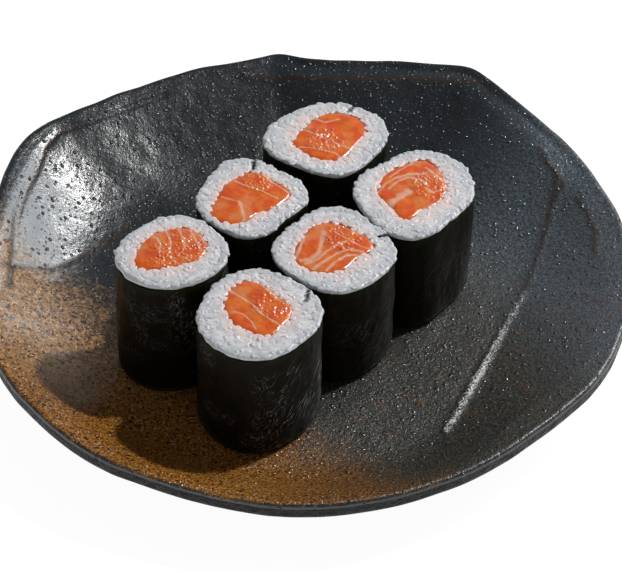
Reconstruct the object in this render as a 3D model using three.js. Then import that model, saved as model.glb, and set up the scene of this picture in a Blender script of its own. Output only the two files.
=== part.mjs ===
// Maki sushi roll: six cut pieces of salmon maki standing on their folded stoneware plate.
// Millimetres, +Z up. The foot of the plate rests on z = 0 and the plan is centred on x = y = 0.
import * as THREE from "three";

// ---------------------------------------------------------------- plate
// The outer edge of the rim in plan, anticlockwise. A corner is where two folded sides meet.
const RIM_OUTLINE = [
  { at: [74.4, 3] },
  { at: [72.6, 20.5] },
  { at: [66.6, 35.7] },
  { at: [58, 50.1] },
  { at: [49.7, 60] },
  { at: [39, 72.2], corner: true },
  { at: [18.7, 73.4] },
  { at: [-0.5, 72.4] },
  { at: [-9, 74.6], corner: true },
  { at: [-18, 71.3] },
  { at: [-29.4, 67.3] },
  { at: [-43.6, 60] },
  { at: [-57, 51] },
  { at: [-62.7, 47.7] },
  { at: [-67.3, 43.5] },
  { at: [-70.8, 35.7] },
  { at: [-73.2, 24] },
  { at: [-74.5, 3] },
  { at: [-72.9, -16] },
  { at: [-68.1, -33] },
  { at: [-59.2, -45.5] },
  { at: [-45.5, -57.7] },
  { at: [-32.5, -63.7] },
  { at: [-19.2, -68] },
  { at: [-5.5, -70.1] },
  { at: [8.3, -69.1] },
  { at: [24.8, -64.3] },
  { at: [39.8, -55.7] },
  { at: [53.1, -44] },
  { at: [65.3, -29.8] },
  { at: [71.2, -15.5] },
];
const WELL_MIDDLE = [-2, -4]; // middle of the round well and of the foot, in the same plan
const PLATE_SIDES = 72; // spokes round the plate
const FLOOR_Z = 7.5; // top of the well's flat floor
const RIM_RISE = 10.5; // rim above that floor, on average
const RIM_TILT = 2.8; // how much higher it stands on its high side
const RIM_HIGH_AT = 110; // direction of that side, in degrees
const BODY_THICK = 4.2; // clay measured straight down through the wall
const FOOT_OUTER = 41; // the ring it stands on
const FOOT_INNER = 35.5;
const FOOT_DRAFT = 1; // how far the ring's sides lean over their height
const FOOT_RECESS = 1.6; // hollow inside the foot ring
const LIP_FACE = 2.9; // height of the rim's outer face
const LIP_FLAT = 2.2; // width of the rim's top
const LIP_ROUND = 0.7; // rounding of its edges
const RIM_BAND = 7; // the crease that runs inside the rim, measured from the outer edge
const BAND_EASE = 0.12; // how much the wall flattens outside that crease
const WALL_START = 46.5; // radius where the floor begins to rise
const WALL_CURVE = 1.6; // power of the bowl's rise, on average
const CURVE_CHANGE = 0.35; // how much more it is at the front, where the rise comes late
const BOWL_RISE = 4; // the bowl's share of the rise where a fold lifts the wall as well
const FOLD_SOFT = 1.5; // how tightly a fold is creased
// Folds pressed into the wall: direction they face, distance from the middle, extra slope beyond,
// and the direction round which they come in.
const FOLDS = [
  { facing: 136, distance: 50, slope: 0.34, from: 127 },
  { facing: -22.5, distance: 44.5, slope: 0.2, from: -90 },
];
const FOLD_FADE = 30; // degrees over which a fold comes in
const WALL_RINGS = [1, 0.8, 0.6, 0.4, 0.2, 0]; // rim crease to floor, as parts of the wall's width
const UNDER_RINGS = [0.15, 0.4, 0.7, 1]; // the same outwards under the wall
const FLOOR_RINGS = [34, 17];
const CURVE_STEPS = 12; // straight steps between two points of the rim outline

// ---------------------------------------------------------------- maki
// Each piece: where it stands, its mean radius and height above the plate's floor, how its
// round is squashed (times round, relative amount, direction in degrees), and its salmon.
const ROLLS = [
  {
    name: "a", at: [-30.1, -18.8], radius: 11.68, height: 33.7,
    squash: [[2, 0.064, 26], [3, 0.027, -28], [4, 0.023, 0]],
    salmon: [[7.6, -0.6], [6.2, 6.2], [2.8, 8], [-1.6, 7.1], [-6, 4.1], [-8.2, -1.1],
      [-8.3, -5.4], [-1.6, -5.6], [3.3, -4.2]],
  },
  {
    name: "b", at: [-13.7, 1.5], radius: 12.06, height: 32,
    squash: [[2, 0.032, 68], [3, 0.05, 6], [4, 0.07, 10]],
    salmon: [[9.4, 2.4], [5.9, 5.3], [0.2, 8.8], [-3.8, 6.3], [-7.2, 0.8], [-8.4, -6.7],
      [-2.8, -9.6], [2.2, -5.5], [7.5, -2]],
  },
  {
    name: "c", at: [3.4, 23.1], radius: 12.93, height: 31.4,
    squash: [[2, 0.076, 14], [3, 0.042, 52], [4, 0.047, 11]],
    salmon: [[9.3, 3.2], [7.6, 6.8], [2.6, 8.9], [-5.7, 2.9], [-8.5, -2.8], [-5.3, -5.7],
      [-0.9, -8.4], [3.9, -7.1], [6.8, -2.8]],
  },
  {
    name: "d", at: [-10.7, -34.5], radius: 13.41, height: 30.9,
    squash: [[2, 0.021, 57], [3, 0.029, -1], [4, 0.026, 10]],
    salmon: [[7.6, 1.7], [4, 6], [-0.7, 9.9], [-3.8, 10.1], [-7.7, 3.3], [-5.7, -3.1],
      [-1.5, -6.3], [2.6, -7.2], [5.4, -4]],
  },
  {
    name: "e", at: [5.5, -12.3], radius: 13.12, height: 29.5,
    squash: [[2, 0.009, -42], [3, 0.029, -34], [4, 0.052, 2]],
    salmon: [[9.1, 0.6], [4.2, 6.9], [-2.9, 8.9], [-5.6, 6.9], [-7.9, 2.9], [-9.1, -4],
      [-5.1, -7.5], [-1.6, -8], [5.4, -2.4]],
  },
  {
    name: "f", at: [23.4, 7.4], radius: 13.6, height: 29.4,
    squash: [[2, 0.09, 54], [3, 0.045, 38], [4, 0.04, -7]],
    salmon: [[7.5, 3.6], [6.4, 7.4], [2.2, 11.6], [-1.7, 9.7], [-8.1, 3.3], [-8.7, -0.7],
      [-5.6, -5.6], [-2.2, -10.2], [1.6, -6.3]],
  },
];
const ROLL_SIDES = 32;
const SALMON_SIDES = 28;
const REST_GAP = 0.3; // between a piece and the plate under it
const NORI_THICK = 0.5;
const LAYER_GAP = 0.26; // between nori, rice and salmon
const NORI_TOP = 1.5; // nori ends this far below the cut face
const NORI_WAVE = 0.25; // unevenness of its cut edge
const BARREL = 0.2; // how far a piece swells at its waist
const WAIST = 0.45; // height of the waist, as a part of the nori's height
const RICE_OVER = 0.05; // rice over the nori's edge, past the nori's outer face
const OVERHANG_RISE = 0.1; // how much the rice rises as it goes over that edge
const RICE_LUMP = 0.16; // unevenness of the rice's outer edge
const RICE_SHOULDER = 0.55; // the edge of the cut face below its middle
const RICE_ROUNDING = 0.08; // width of that edge's rounding, as a part of the ring's width
const RICE_CROWN = 0.25; // rise of the ring halfway between nori and salmon
const RICE_DIP = 0.12; // its edge against the salmon below the cut face
const HOLE_GAP = 0.36; // the same gap as between layers, along a radius that crosses it askew
const SALMON_CROWN = 0.3; // rise of the salmon's middle
const SALMON_SINK = 0.35; // its edge below the cut face
const SALMON_SHOULDER = 0.86; // where its cut face begins, as a part of its width
const SALMON_TOP = 0.4; // where it is highest, as a part of its width

const RICE_COLOUR = 0xf1efe9;
const SALMON_COLOUR = 0xf07f45;
const NORI_COLOUR = 0x12160f;
const PLATE_COLOUR = 0x25282b;

function degrees(value) {
  return (value * Math.PI) / 180;
}

function mix(a, b, part) {
  return a + (b - a) * part;
}

// A closed body from a stack of loops, each a ring of the same number of points. With caps
// the first and last loop are closed by a fan; without, the last loop joins the first.
function bodyFromLoops(loops, caps) {
  const sides = loops[0].length;
  const positions = [];
  const faces = [];
  for (const loop of loops) {
    for (const point of loop) {
      positions.push(point[0], point[1], point[2]);
    }
  }
  const joins = caps ? loops.length - 1 : loops.length;
  for (let ring = 0; ring < joins; ring += 1) {
    const low = ring * sides;
    const high = ((ring + 1) % loops.length) * sides;
    for (let side = 0; side < sides; side += 1) {
      const next = (side + 1) % sides;
      faces.push(low + side, low + next, high + next);
      faces.push(low + side, high + next, high + side);
    }
  }
  if (caps) {
    const first = loops[0];
    const last = loops[loops.length - 1];
    const firstMiddle = positions.length / 3;
    positions.push(...middleOf(first));
    const lastMiddle = positions.length / 3;
    positions.push(...middleOf(last));
    const lastStart = (loops.length - 1) * sides;
    for (let side = 0; side < sides; side += 1) {
      const next = (side + 1) % sides;
      faces.push(firstMiddle, next, side);
      faces.push(lastMiddle, lastStart + side, lastStart + next);
    }
  }
  const geometry = new THREE.BufferGeometry();
  geometry.setAttribute("position", new THREE.Float32BufferAttribute(positions, 3));
  geometry.setIndex(faces);
  geometry.computeVertexNormals();
  return geometry;
}

function middleOf(loop) {
  const sum = [0, 0, 0];
  for (const point of loop) {
    sum[0] += point[0] / loop.length;
    sum[1] += point[1] / loop.length;
    sum[2] += point[2] / loop.length;
  }
  return sum;
}

function namedMesh(name, geometry, colour, roughness) {
  const material = new THREE.MeshStandardMaterial({ color: colour, roughness, metalness: 0 });
  const mesh = new THREE.Mesh(geometry, material);
  mesh.name = name;
  return mesh;
}

// ---------------------------------------------------------------- plate shape
// The rim outline as points: a smooth curve from each corner to the next.
function rimPoints() {
  const count = RIM_OUTLINE.length;
  const corners = [];
  for (let index = 0; index < count; index += 1) {
    if (RIM_OUTLINE[index].corner) {
      corners.push(index);
    }
  }
  const points = [];
  for (let part = 0; part < corners.length; part += 1) {
    const start = corners[part];
    const end = corners[(part + 1) % corners.length];
    const run = [];
    for (let index = start; ; index = (index + 1) % count) {
      const [x, y] = RIM_OUTLINE[index].at;
      run.push(new THREE.Vector3(x - WELL_MIDDLE[0], y - WELL_MIDDLE[1], 0));
      if (index === end) {
        break;
      }
    }
    const curve = new THREE.CatmullRomCurve3(run, false, "centripetal");
    points.push(...curve.getPoints(run.length * CURVE_STEPS).slice(0, -1));
  }
  return points;
}

// Distance from the well's middle to the rim in one direction.
function rimRadius(points, angle) {
  const ray = new THREE.Vector2(Math.cos(angle), Math.sin(angle));
  for (let index = 0; index < points.length; index += 1) {
    const from = points[index];
    const to = points[(index + 1) % points.length];
    const sideFrom = ray.x * from.y - ray.y * from.x;
    const sideTo = ray.x * to.y - ray.y * to.x;
    if (sideFrom <= 0 && sideTo > 0) {
      const part = sideFrom / (sideFrom - sideTo);
      return Math.hypot(mix(from.x, to.x, part), mix(from.y, to.y, part));
    }
  }
  throw new Error("the rim outline does not go round the middle");
}

// Spokes at even angles, the nearest one moved onto each corner.
function spokeAngles() {
  const step = (2 * Math.PI) / PLATE_SIDES;
  const angles = [];
  for (let side = 0; side < PLATE_SIDES; side += 1) {
    angles.push(side * step);
  }
  for (const point of RIM_OUTLINE) {
    if (point.corner) {
      const x = point.at[0] - WELL_MIDDLE[0];
      const y = point.at[1] - WELL_MIDDLE[1];
      const angle = (Math.atan2(y, x) + 2 * Math.PI) % (2 * Math.PI);
      angles[Math.round(angle / step) % PLATE_SIDES] = angle;
    }
  }
  return angles;
}

function rimHeight(angle) {
  return FLOOR_Z + RIM_RISE + RIM_TILT * Math.cos(angle - degrees(RIM_HIGH_AT));
}

// How far a fold has come in at a direction, from 0 to 1.
function foldShare(fold, angle) {
  const turn = angle - degrees(fold.from);
  const away = Math.atan2(Math.sin(turn), Math.cos(turn));
  const part = Math.min(1, Math.max(0, away / degrees(FOLD_FADE) + 0.5));
  return part * part * (3 - 2 * part);
}

// Rise of the wall before it is scaled to meet the rim: a bowl, plus the folds.
function rawRise(angle, radius, rim) {
  const outward = Math.max(0, radius - WALL_START) / (rim - WALL_START);
  const curve = WALL_CURVE - CURVE_CHANGE * Math.sin(angle);
  let rise = BOWL_RISE * outward ** curve;
  for (const fold of FOLDS) {
    const across = radius * Math.cos(angle - degrees(fold.facing)) - fold.distance;
    const slope = fold.slope * foldShare(fold, angle);
    rise += slope * FOLD_SOFT * Math.log1p(Math.exp(across / FOLD_SOFT));
  }
  const outside = Math.max(0, radius - (rim - RIM_BAND));
  return rise - BAND_EASE * outside;
}

function wellHeight(angle, radius, rim) {
  const full = rawRise(angle, rim - LIP_FLAT - LIP_ROUND, rim);
  const flat = rawRise(angle, 0, rim);
  const part = (rawRise(angle, radius, rim) - flat) / (full - flat);
  return mix(FLOOR_Z, rimHeight(angle), Math.min(1, Math.max(0, part)));
}

// One spoke of the plate as [radius, height] pairs: under the foot, up the outside, over the
// rim and down into the well.
function plateSpoke(angle, rim) {
  const top = rimHeight(angle);
  const wallTop = rim - RIM_BAND;
  const wallFoot = WALL_START;
  const spoke = [
    [FOOT_INNER - FOOT_DRAFT, FOOT_RECESS],
    [FOOT_INNER, 0],
    [FOOT_OUTER, 0],
    [FOOT_OUTER + FOOT_DRAFT, FLOOR_Z - BODY_THICK],
  ];
  for (const part of UNDER_RINGS) {
    const radius = mix(wallFoot, wallTop, part);
    spoke.push([radius, wellHeight(angle, radius, rim) - BODY_THICK]);
  }
  spoke.push([rim - LIP_ROUND, top - LIP_FACE - LIP_ROUND]);
  spoke.push([rim, top - LIP_FACE]);
  spoke.push([rim, top - LIP_ROUND]);
  spoke.push([rim - LIP_ROUND, top]);
  spoke.push([rim - LIP_FLAT - LIP_ROUND, top - 0.3 * LIP_ROUND]);
  for (const part of WALL_RINGS) {
    const radius = mix(wallFoot, wallTop, part);
    spoke.push([radius, wellHeight(angle, radius, rim)]);
  }
  for (const radius of FLOOR_RINGS) {
    spoke.push([radius, FLOOR_Z]);
  }
  return spoke;
}

function plateGeometry() {
  const outline = rimPoints();
  const angles = spokeAngles();
  const loops = [];
  angles.forEach((angle, side) => {
    const spoke = plateSpoke(angle, rimRadius(outline, angle));
    spoke.forEach(([radius, height], ring) => {
      if (side === 0) {
        loops.push([]);
      }
      const x = WELL_MIDDLE[0] + radius * Math.cos(angle);
      const y = WELL_MIDDLE[1] + radius * Math.sin(angle);
      loops[ring].push([x, y, height]);
    });
  });
  return bodyFromLoops(loops, true);
}

// ---------------------------------------------------------------- maki shapes
function rollRadius(roll, angle) {
  let radius = roll.radius;
  for (const [times, amount, direction] of roll.squash) {
    radius += roll.radius * amount * Math.cos(times * (angle - degrees(direction)));
  }
  return radius;
}

// A small smooth unevenness between -1 and 1, its own for each piece.
function lump(roll, angle) {
  const turn = roll.at[0] * 0.7 + roll.at[1] * 0.3;
  return 0.5 * Math.sin(7 * angle + turn) + 0.5 * Math.sin(11 * angle - 2 * turn);
}

// Distance from the piece's middle to the salmon's edge, by a smooth curve through its points.
function salmonRadius(roll, angle) {
  const knots = roll.salmon.map(([x, y]) => [Math.atan2(y, x), Math.hypot(x, y)]);
  knots.sort((one, other) => one[0] - other[0]);
  const count = knots.length;
  const turn = 2 * Math.PI;
  const wrapped = Math.atan2(Math.sin(angle), Math.cos(angle));
  let after = knots.findIndex((knot) => knot[0] > wrapped);
  if (after < 0) {
    after = count;
  }
  const knotAt = (index) => {
    const laps = Math.floor(index / count);
    const [knotAngle, radius] = knots[index - laps * count];
    return [knotAngle + laps * turn, radius];
  };
  const [a0, r0] = knotAt(after - 2);
  const [a1, r1] = knotAt(after - 1);
  const [a2, r2] = knotAt(after);
  const [a3, r3] = knotAt(after + 1);
  const span = a2 - a1;
  const part = (wrapped - a1) / span;
  const slope1 = ((r2 - r0) / (a2 - a0)) * span;
  const slope2 = ((r3 - r1) / (a3 - a1)) * span;
  const square = part * part;
  const cube = square * part;
  return (
    (2 * cube - 3 * square + 1) * r1 +
    (cube - 2 * square + part) * slope1 +
    (3 * square - 2 * cube) * r2 +
    (cube - square) * slope2
  );
}

// A loop round a piece: its radius and height are given for each direction.
function rollLoop(roll, sides, radiusAt, heightAt) {
  const loop = [];
  for (let side = 0; side < sides; side += 1) {
    const angle = (2 * Math.PI * side) / sides;
    const radius = radiusAt(angle);
    const x = roll.at[0] + radius * Math.cos(angle);
    const y = roll.at[1] + radius * Math.sin(angle);
    loop.push([x, y, heightAt(angle)]);
  }
  return loop;
}

function baseOf() {
  return FLOOR_Z + REST_GAP;
}

function cutFaceOf(roll) {
  return FLOOR_Z + roll.height;
}

function noriGeometry(roll) {
  const base = baseOf();
  const edge = cutFaceOf(roll) - NORI_TOP;
  const waist = mix(base, edge, WAIST);
  const outer = (swell) => (angle) => rollRadius(roll, angle) + swell;
  const inner = (swell) => (angle) => rollRadius(roll, angle) + swell - NORI_THICK;
  const wavy = (angle) => edge + NORI_WAVE * lump(roll, angle);
  const loops = [
    rollLoop(roll, ROLL_SIDES, outer(0), () => base),
    rollLoop(roll, ROLL_SIDES, outer(BARREL), () => waist),
    rollLoop(roll, ROLL_SIDES, outer(0), wavy),
    rollLoop(roll, ROLL_SIDES, inner(0), wavy),
    rollLoop(roll, ROLL_SIDES, inner(BARREL), () => waist),
    rollLoop(roll, ROLL_SIDES, inner(0), () => base),
  ];
  return bodyFromLoops(loops, false);
}

function riceGeometry(roll) {
  const base = baseOf();
  const face = cutFaceOf(roll);
  const edge = face - NORI_TOP;
  const waist = mix(base, edge, WAIST);
  const wallInset = NORI_THICK + LAYER_GAP;
  const wall = (swell) => (angle) => rollRadius(roll, angle) + swell - wallInset;
  const wavy = (extra) => (angle) => edge + extra + NORI_WAVE * lump(roll, angle);
  const over = (angle) => rollRadius(roll, angle) + RICE_OVER + RICE_LUMP * lump(roll, angle);
  const hole = (angle) => salmonRadius(roll, angle) + HOLE_GAP;
  const ring = (part) => (angle) => mix(over(angle), hole(angle), part);
  const shoulder = (angle) => face - RICE_SHOULDER + 0.5 * RICE_LUMP * lump(roll, angle + 1);
  const loops = [
    rollLoop(roll, ROLL_SIDES, wall(0), () => base),
    rollLoop(roll, ROLL_SIDES, wall(BARREL), () => waist),
    rollLoop(roll, ROLL_SIDES, wall(0), wavy(LAYER_GAP)),
    rollLoop(roll, ROLL_SIDES, over, wavy(LAYER_GAP + OVERHANG_RISE)),
    rollLoop(roll, ROLL_SIDES, ring(RICE_ROUNDING), shoulder),
    rollLoop(roll, ROLL_SIDES, ring(0.5), () => face + RICE_CROWN),
    rollLoop(roll, ROLL_SIDES, hole, () => face - RICE_DIP),
    rollLoop(roll, ROLL_SIDES, hole, () => base),
  ];
  return bodyFromLoops(loops, false);
}

function salmonGeometry(roll) {
  const face = cutFaceOf(roll);
  const edge = (part) => (angle) => part * salmonRadius(roll, angle);
  const loops = [
    rollLoop(roll, SALMON_SIDES, edge(1), baseOf),
    rollLoop(roll, SALMON_SIDES, edge(1), () => face - SALMON_SINK),
    rollLoop(roll, SALMON_SIDES, edge(SALMON_SHOULDER), () => face),
    rollLoop(roll, SALMON_SIDES, edge(SALMON_TOP), () => face + SALMON_CROWN),
  ];
  return bodyFromLoops(loops, true);
}

// ---------------------------------------------------------------- assembly
const group = new THREE.Group();
group.name = "maki_on_plate";
const plate = plateGeometry();
plate.computeBoundingBox();
const middle = plate.boundingBox.getCenter(new THREE.Vector3());
group.add(namedMesh("plate", plate, PLATE_COLOUR, 0.35));
for (const roll of ROLLS) {
  group.add(namedMesh(`nori_${roll.name}`, noriGeometry(roll), NORI_COLOUR, 0.5));
  group.add(namedMesh(`rice_${roll.name}`, riceGeometry(roll), RICE_COLOUR, 0.4));
  group.add(namedMesh(`salmon_${roll.name}`, salmonGeometry(roll), SALMON_COLOUR, 0.3));
}
for (const mesh of group.children) {
  mesh.geometry.translate(-middle.x, -middle.y, 0);
}

export default group;
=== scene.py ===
"""Six cut salmon maki on a folded stoneware plate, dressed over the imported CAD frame.

Shapes are worked out in millimetres in the frame's own axes and turned to metres when a
piece is made.
"""

import itertools
import math

import bpy
import numpy as np
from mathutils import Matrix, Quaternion, Vector
from mathutils.bvhtree import BVHTree


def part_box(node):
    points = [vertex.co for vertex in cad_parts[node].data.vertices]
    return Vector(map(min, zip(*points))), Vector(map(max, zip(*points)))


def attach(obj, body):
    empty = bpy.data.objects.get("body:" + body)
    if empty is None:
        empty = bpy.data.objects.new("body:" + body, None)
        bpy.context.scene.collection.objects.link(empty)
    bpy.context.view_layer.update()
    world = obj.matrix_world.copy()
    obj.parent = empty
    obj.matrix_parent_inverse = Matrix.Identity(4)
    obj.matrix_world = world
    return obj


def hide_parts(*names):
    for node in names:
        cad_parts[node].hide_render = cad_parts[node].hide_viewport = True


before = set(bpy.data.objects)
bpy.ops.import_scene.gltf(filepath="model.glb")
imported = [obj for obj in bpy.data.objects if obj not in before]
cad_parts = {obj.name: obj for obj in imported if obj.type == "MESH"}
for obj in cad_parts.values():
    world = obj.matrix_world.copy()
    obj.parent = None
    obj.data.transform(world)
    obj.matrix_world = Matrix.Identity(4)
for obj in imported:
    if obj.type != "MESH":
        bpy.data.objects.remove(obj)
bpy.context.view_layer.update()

MM = 0.001
UP = Vector((0, 0, 1))
ROLLS = "abcdef"
SEED = 11

# ---------------------------------------------------------------- camera and light
CAMERA_TARGET = (0.6, -12.5, 23.35)
CAMERA_ELEVATION = 44.0  # degrees
CAMERA_DISTANCE = 700.0
CAMERA_LENS = 179.9
CAMERA_SENSOR = 36.0
CAMERA_ROLL = 1.5  # degrees
LIGHT_DISTANCE = 1400.0
KEY_TOWARDS = (0.63, 0.38, 1.0)  # direction from the plate to the key light
KEY_SIZE = 70.0
KEY_POWER = 9.8
FILL_TOWARDS = (0.64, 0.54, 0.55)  # direction to a soft window
FILL_SIZE = 650.0
FILL_POWER = 7.5
SKY_LOW = 0.34  # brightness of the room near the horizon
SKY_HIGH = 0.08  # and straight up
FLOOR_SIZE = 40000.0
FLOOR_GLOW = 0.95  # light of its own, so that the floor comes out white

# ---------------------------------------------------------------- plate
SPOKES = 640  # round the plate
WELL_RINGS = 116  # from the lip to the middle
WELL_CENTRE = 0.012  # the innermost of them, as a part of the way out to the lip
LIP_WIDTH = 2.9  # flat top of the rim and the rounding outside it, as the CAD has them
LIP_TOP_IN = 1.4  # how far in from the edge the height of that top is read
RIM_LOWEST = 11.0  # the rim's outer face is nowhere wholly below this
RIM_STEP = 0.8  # steps of height in which the rim's widest outline is looked for
RIM_WOBBLE = 0.25  # unevenness of the rim
LOOK_DOWN_FROM = 60.0  # heights from which the CAD plate's top and underside are looked at
LOOK_UP_FROM = -20.0
# Section of the lip from the well over the rim to the underside: (in from the edge, below its top).
LIP_SECTION = [
    (2.9, 0.25), (2.3, 0.0), (1.7, -0.26), (1.2, -0.42), (0.85, -0.46), (0.55, -0.4),
    (0.28, -0.22), (0.08, 0.08), (0.0, 0.6), (0.0, 1.6), (0.0, 2.6), (0.12, 3.2),
    (0.45, 3.5), (0.9, 3.7),
]
LIP_RELIEF = 4  # points of that section, from the well, that the well's relief reaches
LIP_GLAZED = 9  # and that the glaze covers
UNDER_RINGS = 16
CORNER_ROUND = 1.2  # degrees over which the rim's corners are rounded
FACET_ROUND = 2.0  # degrees over which the wall's facets are blended
WELL_PASSES = 12  # how often the folds of the whole well are softened
SOFT_WALLS = [(88, 215, 110), (88, 150, 250)]  # softened further: first, last degree and passes
SOFT_FADE_IN = 16  # degrees over which that softening comes in
SOFT_FADE_OUT = 22  # and goes out
# Lines pressed or raised in the glaze, in plan.
BACK_LEFT_CREASE = [(-68.8, -1.3), (-59.5, 4.4), (-53.5, 10.7), (-47.3, 15.7), (-42.1, 22.2),
                    (-35.8, 28), (-29.5, 35.3), (-23.1, 42.8)]
LEFT_BAND = [(-68.1, -8.1), (-68.1, 15.9), (-66.6, 24.2), (-64.9, 29.9), (-63.6, 37),
             (-60.4, 42.2), (-56, 44.6), (-42.1, 53.2), (-36, 56.4)]
BACK_BAND = [(-16.9, 64.6), (4, 63.9), (21.1, 65), (40.7, 64.7)]
RIGHT_CREASE = [(58.2, 34.4), (55.8, 21.7), (52.1, 9.2), (50, 2.4), (31.3, -42.2)]
RIGHT_BAND = [(62.6, 26.7), (64.7, 21.9), (66.3, 15.1), (66, 9)]
CORNER_CREASE = [(54.2, 42), (56.8, 35.7), (59.5, 30.8), (57.4, 27.2)]
FRONT_BAND = [(43, -46.9), (60.4, -29.1), (66.2, -20.7)]
# The raised streak on the right, which also carries a painted highlight.
STREAK = [(50, 2.4), (40.6, -19.8), (31.3, -42.2)]
# Each such line: its points, its half width and how far it stands up.
RELIEF_LINES = [
    (BACK_LEFT_CREASE[:3], 1.0, -0.15),
    (LEFT_BAND, 0.6, -0.3),
    (BACK_BAND, 1.2, 0.22),
    (RIGHT_CREASE, 0.9, 0.28),
    (RIGHT_BAND, 0.8, 0.22),
    (CORNER_CREASE, 0.8, 0.22),
    (FRONT_BAND, 0.8, 0.2),
]

# ---------------------------------------------------------------- maki
NORI_SIDES = 330
NORI_ROWS = 90
NORI_THICK = 0.35
NORI_TRIM = 0.25  # how far below the CAD's the visible seaweed ends
NORI_WAIST = 0.45  # where a roll swells most, as a part of its height
NORI_EDGE = 0.8  # how far below its top its outline there is read
BASE_TUCK = 0.55  # how far the seaweed turns in at the foot of a roll
TUCK_RISE = 0.055  # part of its height over which it does
ROLL_ROUND = 2.5  # degrees over which the CAD rolls' facets are blended
LEANING_TURN = (-35, 20, 0)  # turns the upright to the way the seaweed's wrinkles lean
LYING_TURN = (0, 8, 17)  # turns the x axis to the way they lie in front
# How strongly each roll's wrinkles show: their relief and their painted highlights.
WRINKLES_AND_GLINTS = {"a": 0.6, "b": 0.4, "c": 0.3, "d": 0.95, "e": 0.17, "f": 0.05}
RICE_SIDES = 180
RICE_RINGS = 20
RICE_DEPTH = 0.1  # how far the core's top lies below the cut face
CORE_TUCK = 0.6  # how much further than the seaweed the rice turns in at the foot
CORE_CLEAR = 0.3  # how far inside the seaweed it then rises
CORE_RISE = 2.2  # height at which it has come out that far
# Outer edge of the core over the seaweed: (out from the wall, part of the rise to its top).
CORE_LIP = [(0.1, 0.05), (0.45, 0.3), (0.5, 0.55), (0.3, 0.8), (-0.1, 0.95)]
GRAIN_WIDTH = 1.8
GRAIN_HEIGHT = 1.5
BORDER_GRAIN = (2.0, 3.2)  # shortest and longest grain along the seaweed
HOLE_GRAIN = (2.0, 3.0)  # beside the salmon
FACE_GRAIN = (2.4, 4.6)  # and between them
GRAIN_SPACING = 1.3
EDGE_SPACING = 1.3
SCATTER_TRIES = 5000
CUT_LEVEL = -0.15  # height at which the knife presses the grains flat, from the cut face
CUT_KEEP = 0.14  # the part of their height above it that is left
NOTCH_WIDTH = 0.32
NOTCH_REACH = 5.0  # how near to the nick grains are pushed out of it
SALMON_SIDES = 180
SALMON_RINGS = 56
FACE_DROP = 0.3  # how far the cut face lies below the top of the CAD's salmon
CORE_LEVEL = 3.0  # how far below the cut face the salmon's outline is read
FAT_STEP = 0.08  # how far the lines of fat lie below the flesh
# Where the seaweed's lap nicks the rice of each piece: from its inner end to the nori, from
# the middle of the piece.
NOTCH = {
    "a": ((3.7, 11.7), (3.9, 12.3)),
    "b": ((0, 9.4), (0, 13)),
    "c": ((5.2, 9.2), (7.2, 12.4)),
    "d": ((9.7, 3.9), (10.8, 9.4)),
    "e": ((10.1, 4.1), (13.6, 5.3)),
    "f": ((-5.8, 10.8), (-6.9, 13.2)),
}
# Lines of fat on each cut face, from the middle of the piece: (width, points).
FAT = {
    "a": [
        (0.42, [(-3, 6.7), (-1.6, 6.1), (-0.7, 4.2), (-0.3, 1.7), (-0.4, -0.9)]),
        (0.36, [(0.9, 7.2), (1.9, 5), (2.5, 2.7), (3, 0.5)]),
        (0.4, [(3.4, 7.3), (4.4, 5), (5.4, 2.5), (6.3, 0.3)]),
        (0.3, [(-5.1, 4.7), (-3.5, 3.8), (-2.5, 1.6), (-2.6, -1)]),
        (0.3, [(5.9, 5.4), (6.9, 2.9)]),
        (0.28, [(-0.8, -1.6), (0.4, -3.1), (2, -4.6)]),
    ],
    "b": [
        (0.26, [(-4.6, 5.5), (-1.8, 3.9), (0.5, 3), (2.5, 1.7), (5.9, -0.5)]),
        (0.3, [(1, 8.7), (2.8, 6.8), (5.4, 4.2), (8.8, 1)]),
        (0.3, [(-6.8, -0.3), (-4.6, -1.2), (-2.3, -2.1)]),
        (0.6, [(-2.7, -1.8), (-2, -4.8), (-1.2, -8.3)]),
    ],
    "c": [
        (0.28, [(-5.4, 2.7), (-2.4, 1.1), (0.6, -0.6), (3.4, -2.5), (6.1, -3.8)]),
        (0.32, [(-7.3, -5), (-5.7, -3.6), (-3.2, -3.8), (-0.5, -4.4), (2.3, -5.3), (3.7, -7)]),
        (0.3, [(-2.9, 6.6), (-0.2, 5.3), (3.1, 6.5)]),
    ],
    "d": [
        (0.36, [(-6.6, 6.6), (-4.1, 4.5), (-1.9, 2.7), (0.4, -0.3), (2.6, -2.3), (5, -4.1)]),
        (0.3, [(-5.9, 0.1), (-3.5, -0.7), (-1.7, -2.8), (-0.7, -5.2)]),
        (0.5, [(-0.3, 9.7), (1.5, 7.2), (3.7, 4.5)]),
    ],
    "e": [
        (0.55, [(-9, -4.5), (-7.9, -2.2), (-7.3, 0.4), (-6.5, 3.6)]),
        (0.75, [(-7.2, -4.4), (-5, -4), (-3.3, -1.7), (-2.7, 1.5), (-2.3, 4.8)]),
        (0.5, [(-6.1, -5.4), (-3.3, -3.6), (-1.3, -1), (0.9, 1), (2.8, 2.1)]),
        (0.45, [(-4.3, -6.9), (-1.7, -4.2), (0.7, -1.9), (3.3, -0.5), (6.4, -1)]),
        (0.45, [(-1.5, -7.4), (0.3, -4.8), (2.7, -2.5), (5.1, -2.1)]),
        (0.3, [(0.6, 4.9), (3.3, 2.7), (5.9, 0.6), (8.2, -0.3)]),
    ],
    "f": [
        (1.3, [(-7.2, -5.2), (-5.4, -4.2), (-3.6, -2.1), (-1.3, 0)]),
        (0.5, [(-8.1, 0), (-6.3, 2.8), (-4, 4.6), (-1.3, 6), (2.8, 6.5)]),
        (0.45, [(-5.6, 1.2), (-3.6, 3.6), (-1.3, 5), (1.4, 4.5), (3.2, 2.5)]),
        (0.4, [(2.8, 8.6), (4.6, 6.6), (6.6, 4)]),
        (0.35, [(-5.4, 4.9), (-2.9, 7.7), (0.1, 10.2)]),
        (0.35, [(2.7, 1.5), (4.5, 0.2), (6.3, 1.3)]),
    ],
}
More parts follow.
